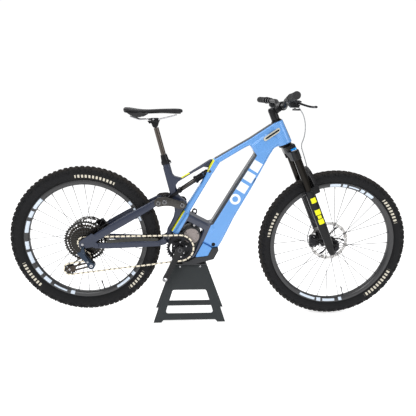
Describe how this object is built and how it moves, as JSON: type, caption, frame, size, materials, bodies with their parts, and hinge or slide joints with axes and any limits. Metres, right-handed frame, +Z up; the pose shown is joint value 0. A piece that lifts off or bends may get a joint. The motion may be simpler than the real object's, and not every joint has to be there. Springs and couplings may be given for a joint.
{
  "type": "electric mountain bike on a stand",
  "caption": "Full-suspension electric mountain bike with a dropper saddle post, disc brakes and a chain drive, held off the floor by a folded-sheet stand.",
  "frame": {"origin": "on the floor under the middle of the bike's length and width", "axes": "+X forward, +Y to the rider's left, +Z up; the chain is on the -Y side"},
  "size_m": [1.953, 0.7866, 1.1104],
  "materials": {
    "stand_slate": "satin powder coat",
    "stand_black": "satin",
    "black_rubber": "matt",
    "sky_blue_paint": "gloss",
    "navy_paint": "gloss",
    "black_anodised": "satin anodised",
    "bright_steel": "brushed",
    "chrome_bolt": "polished",
    "black_plastic": "fine grain",
    "gloss_black": "gloss",
    "warm_grey_cast": "bead blasted",
    "bronze_tube": "satin anodised",
    "saddle_cover": "smooth cover with a soft sheen",
    "tyre_rubber": "matt",
    "spoke_steel": "satin black steel",
    "disc_steel": "ground",
    "cog_steel": "satin",
    "chain_steel": "satin",
    "grey_brown_link": "satin anodised",
    "blue_grey_alloy": "satin",
    "bronze_alloy": "satin",
    "blue_anodised": "anodised",
    "stanchion_black": "polished black coating",
    "hose_cover": "smooth"
  },
  "bodies": {
    "stand": {"stand_side_panels": "stand_slate", "stand_top_plate": "stand_black", "stand_pad": "black_rubber"},
    "frame": {"main_frame": "sky_blue_paint", "seat_mast": "navy_paint", "seat_clamp": "black_anodised", "dropper_outer": "black_anodised", "frame_pivot_bolts": "chrome_bolt", "headset_cups": "black_anodised", "drive_unit": "black_plastic", "drive_unit_cover": "warm_grey_cast", "battery_pack": "black_plastic", "battery_cover": "sky_blue_paint", "skid_plate": "black_plastic"},
    "saddle_post": {"dropper_inner": "bronze_tube", "saddle_rails": "bright_steel", "saddle_pad": "saddle_cover", "saddle_shell": "black_plastic"},
    "fork_upper": {"fork_crown": "gloss_black", "fork_stanchions": "stanchion_black", "stem": "black_anodised", "handlebar": "black_anodised", "grips": "black_rubber", "brake_lever_bodies": "gloss_black", "control_pods": "black_plastic", "front_brake_hose": "hose_cover"},
    "damper_knob": {"compression_knob": "blue_anodised"},
    "fork_lower": {"fork_lowers": "gloss_black", "front_axle": "black_anodised", "front_caliper": "gloss_black"},
    "front_wheel": {"front_tyre": "tyre_rubber", "front_rim": "black_anodised", "front_spokes": "spoke_steel", "front_hub": "black_anodised", "front_rotor": "disc_steel"},
    "right_lever": {"brake_blade_right": "black_anodised"},
    "left_lever": {"brake_blade_left": "black_anodised"},
    "shifter": {"shift_paddle": "black_plastic"},
    "post_remote": {"dropper_paddle": "black_plastic"},
    "swingarm": {"chainstays": "navy_paint", "chain": "chain_steel"},
    "upper_stays": {"seatstays": "navy_paint", "rear_axle": "black_anodised", "rear_caliper": "gloss_black", "derailleur_body": "blue_grey_alloy"},
    "rear_wheel": {"rear_tyre": "tyre_rubber", "rear_rim": "black_anodised", "rear_spokes": "spoke_steel", "rear_hub": "black_anodised", "rear_rotor": "disc_steel"},
    "cog_stack": {"cassette": "cog_steel"},
    "crankset": {"crank_arm_right": "gloss_black", "crank_arm_left": "gloss_black", "chainring": "black_anodised"},
    "rocker": {"rocker_link": "grey_brown_link"},
    "shock_body": {"shock_can": "black_anodised"},
    "shock_rod": {"shock_shaft": "bright_steel"},
    "cage": {"derailleur_cage": "bronze_alloy"},
    "upper_pulley": {"guide_pulley": "black_plastic"},
    "lower_pulley": {"tension_pulley": "black_plastic"}
  },
  "joints": [
    {"name": "bike_lift", "type": "slide", "parent": "stand", "child": "frame", "axis": [0, 0, 1], "range_m": [0, 0.15]},
    {"name": "steering", "type": "hinge", "parent": "frame", "child": "fork_upper", "pos_m": [0.32756, 0, 0.91411], "axis": [-0.3907, 0, 0.9205], "range_deg": [-60, 60]},
    {"name": "compression_dial", "type": "hinge", "parent": "fork_upper", "child": "damper_knob", "pos_m": [0.36953, -0.065, 0.86131], "axis": [-0.3907, 0, 0.9205], "range_deg": [-120, 120]},
    {"name": "fork_slide", "type": "slide", "parent": "fork_upper", "child": "fork_lower", "axis": [-0.3907, 0, 0.9205], "range_m": [0, 0.14], "stiffness_N_per_m": 4000, "deforming": ["front_brake_hose"]},
    {"name": "front_wheel_spin", "type": "hinge", "parent": "fork_lower", "child": "front_wheel", "pos_m": [0.6025, 0, 0.379], "axis": [0, 1, 0], "continuous": true},
    {"name": "brake_pull_right", "type": "hinge", "parent": "fork_upper", "child": "right_lever", "pos_m": [0.338, -0.228, 1.068], "axis": [0.3879, 0, 0.9217], "range_deg": [-22, 0], "stiffness_Nm_per_rad": 0.6, "springref_deg": 14.32},
    {"name": "brake_pull_left", "type": "hinge", "parent": "fork_upper", "child": "left_lever", "pos_m": [0.338, 0.228, 1.068], "axis": [0.3879, 0, 0.9217], "range_deg": [0, 22], "stiffness_Nm_per_rad": 0.6, "springref_deg": -14.32},
    {"name": "shift_press", "type": "hinge", "parent": "fork_upper", "child": "shifter", "pos_m": [0.33, -0.196, 1.042], "axis": [0, 0, 1], "range_deg": [0, 25], "stiffness_Nm_per_rad": 0.3, "springref_deg": -14.32},
    {"name": "post_press", "type": "hinge", "parent": "fork_upper", "child": "post_remote", "pos_m": [0.33, 0.196, 1.042], "axis": [0, 0, 1], "range_deg": [-25, 0], "stiffness_Nm_per_rad": 0.3, "springref_deg": 14.32},
    {"name": "dropper_slide", "type": "slide", "parent": "frame", "child": "saddle_post", "axis": [-0.2541, 0, 0.9672], "range_m": [-0.125, 0]},
    {"name": "suspension", "type": "hinge", "parent": "frame", "child": "swingarm", "pos_m": [-0.207, 0, 0.425], "axis": [0, 1, 0], "range_deg": [0, 20], "stiffness_Nm_per_rad": 300, "deforming": ["chain"]},
    {"name": "stay_hinge", "type": "hinge", "parent": "swingarm", "child": "upper_stays", "pos_m": [-0.555, 0, 0.404], "axis": [0, 1, 0], "range_deg": [-13, 0]},
    {"name": "rocker_hinge", "type": "hinge", "parent": "frame", "child": "rocker", "pos_m": [-0.147, 0, 0.594], "axis": [0, 1, 0], "range_deg": [0, 46]},
    {"name": "shock_swing", "type": "hinge", "parent": "frame", "child": "shock_body", "pos_m": [-0.017, 0, 0.751], "axis": [0, 1, 0], "range_deg": [0, 9]},
    {"name": "shock_stroke", "type": "slide", "parent": "shock_body", "child": "shock_rod", "axis": [0.8326, 0, 0.5538], "range_m": [0, 0.057]},
    {"name": "rear_wheel_spin", "type": "hinge", "parent": "upper_stays", "child": "rear_wheel", "pos_m": [-0.6145, 0, 0.412], "axis": [0, 1, 0], "continuous": true},
    {"name": "crank_spin", "type": "hinge", "parent": "frame", "child": "crankset", "pos_m": [-0.1585, 0, 0.3815], "axis": [0, 1, 0], "continuous": true},
    {"name": "cog_spin", "type": "hinge", "parent": "upper_stays", "child": "cog_stack", "pos_m": [-0.6145, 0, 0.412], "axis": [0, 1, 0], "continuous": true},
    {"name": "cage_swing", "type": "hinge", "parent": "upper_stays", "child": "cage", "pos_m": [-0.576, -0.06, 0.31], "axis": [0, 1, 0], "range_deg": [-60, 0], "stiffness_Nm_per_rad": 1.2, "springref_deg": 34.38},
    {"name": "upper_pulley_spin", "type": "hinge", "parent": "cage", "child": "upper_pulley", "pos_m": [-0.6097, -0.055, 0.3448], "axis": [0, 1, 0], "continuous": true},
    {"name": "lower_pulley_spin", "type": "hinge", "parent": "cage", "child": "lower_pulley", "pos_m": [-0.6873, -0.055, 0.281], "axis": [0, 1, 0], "continuous": true}
  ],
  "couplings": [
    {"joint": "stay_hinge", "follows": "suspension", "ratio": -0.6249},
    {"joint": "rocker_hinge", "follows": "suspension", "ratio": 2.2505},
    {"joint": "shock_swing", "follows": "suspension", "ratio": 0.4246},
    {"joint": "shock_stroke", "follows": "suspension", "m_per_rad": 0.1589},
    {"joint": "cog_spin", "follows": "crank_spin", "ratio": 2.2857},
    {"joint": "upper_pulley_spin", "follows": "crank_spin", "ratio": -2.6667},
    {"joint": "lower_pulley_spin", "follows": "crank_spin", "ratio": 2.2857}
  ]
}
